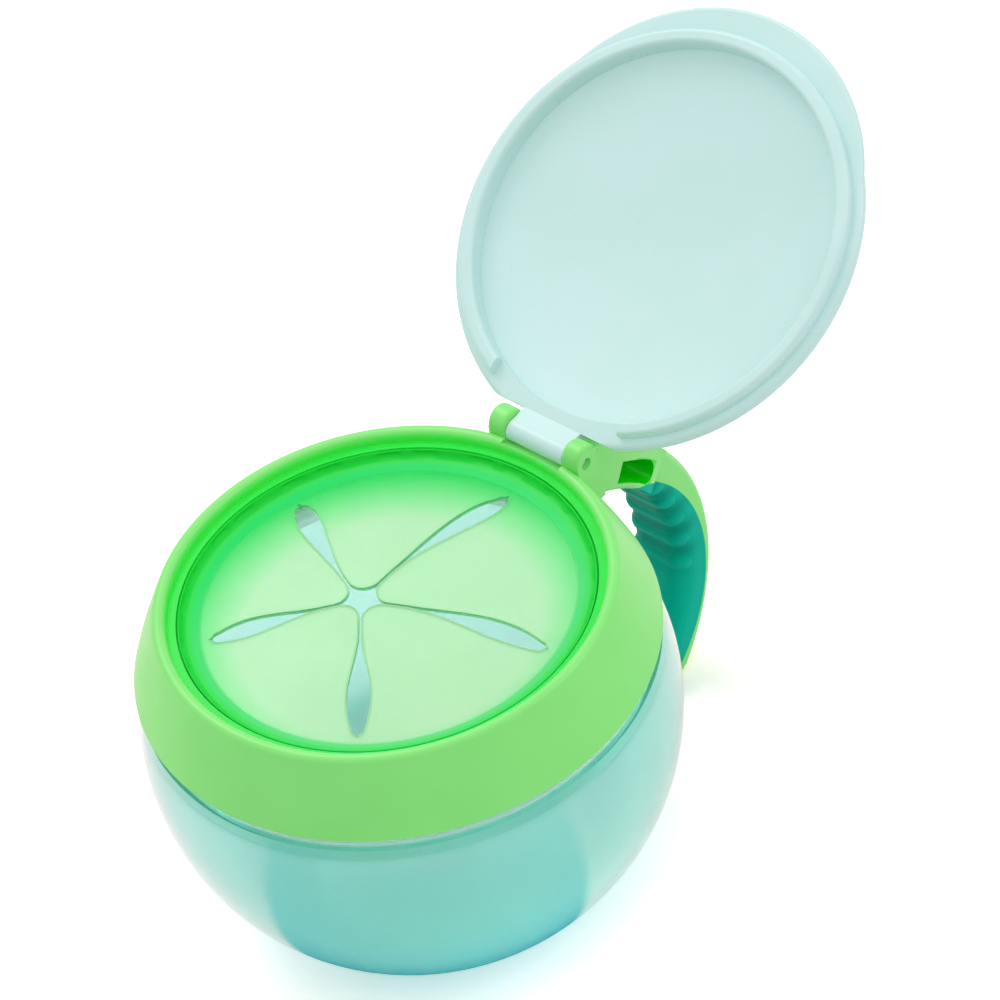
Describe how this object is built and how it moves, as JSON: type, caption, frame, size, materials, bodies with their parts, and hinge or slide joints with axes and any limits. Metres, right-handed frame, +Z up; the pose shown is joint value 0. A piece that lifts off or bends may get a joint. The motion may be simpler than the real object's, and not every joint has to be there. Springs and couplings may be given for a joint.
{
  "type": "toddler snack cup",
  "caption": "Round snack bowl with a screw-on collar, C-shaped ribbed handle, soft slotted membrane to reach through and a hinged flip-up lid.",
  "frame": {"origin": "centre of the flat base, on the table", "axes": "+Z up along the bowl's axis, +Y towards the handle and the lid hinge, X along the lid's hinge line"},
  "size_m": [0.09, 0.1535, 0.1077],
  "materials": {
    "clear_bowl": "translucent pale aqua, gloss",
    "green_shell": "satin light green",
    "soft_grip": "soft-touch teal, ribbed",
    "soft_green": "soft translucent green",
    "clear_lid": "translucent frosted aqua"
  },
  "bodies": {
    "bowl": {"bowl": "clear_bowl"},
    "insert": {"membrane_ring": "soft_green"},
    "collar": {"collar": "green_shell", "grip": "soft_grip"},
    "lid": {"lid": "clear_lid"},
    "flap_1": {"flap_1": "soft_green"},
    "flap_2": {"flap_2": "soft_green"},
    "flap_3": {"flap_3": "soft_green"},
    "flap_4": {"flap_4": "soft_green"},
    "flap_5": {"flap_5": "soft_green"}
  },
  "joints": [
    {"name": "lift", "type": "slide", "parent": "bowl", "child": "insert", "axis": [0, 0, 1], "range_m": [0, 0.0125]},
    {"name": "unscrew", "type": "hinge", "parent": "insert", "child": "collar", "pos_m": [0, 0, 0.06], "axis": [0, 0, 1], "range_deg": [0, 360]},
    {"name": "lid_hinge", "type": "hinge", "parent": "collar", "child": "lid", "pos_m": [0, 0.03938, 0.0665], "axis": [1, 0, 0], "range_deg": [0, 149]},
    {"name": "flap_1_bend", "type": "hinge", "parent": "insert", "child": "flap_1", "pos_m": [-0.01358, 0.01903, 0.0616], "axis": [-0.8141, -0.5807, 0], "range_deg": [-50, 12], "stiffness_Nm_per_rad": 0.004},
    {"name": "flap_2_bend", "type": "hinge", "parent": "insert", "child": "flap_2", "pos_m": [-0.02346, -0.0064, 0.0616], "axis": [0.263, -0.9648, 0], "range_deg": [-50, 12], "stiffness_Nm_per_rad": 0.004},
    {"name": "flap_3_bend", "type": "hinge", "parent": "insert", "child": "flap_3", "pos_m": [-0.00193, -0.02322, 0.0616], "axis": [0.9966, -0.0828, 0], "range_deg": [-50, 12], "stiffness_Nm_per_rad": 0.004},
    {"name": "flap_4_bend", "type": "hinge", "parent": "insert", "child": "flap_4", "pos_m": [0.0219, -0.00918, 0.0616], "axis": [0.3867, 0.9222, 0], "range_deg": [-50, 12], "stiffness_Nm_per_rad": 0.004},
    {"name": "flap_5_bend", "type": "hinge", "parent": "insert", "child": "flap_5", "pos_m": [0.01445, 0.01768, 0.0616], "axis": [-0.7744, 0.6327, 0], "range_deg": [-50, 12], "stiffness_Nm_per_rad": 0.004}
  ],
  "couplings": [
    {"joint": "lift", "follows": "unscrew", "m_per_rad": 0.0019099}
  ]
}
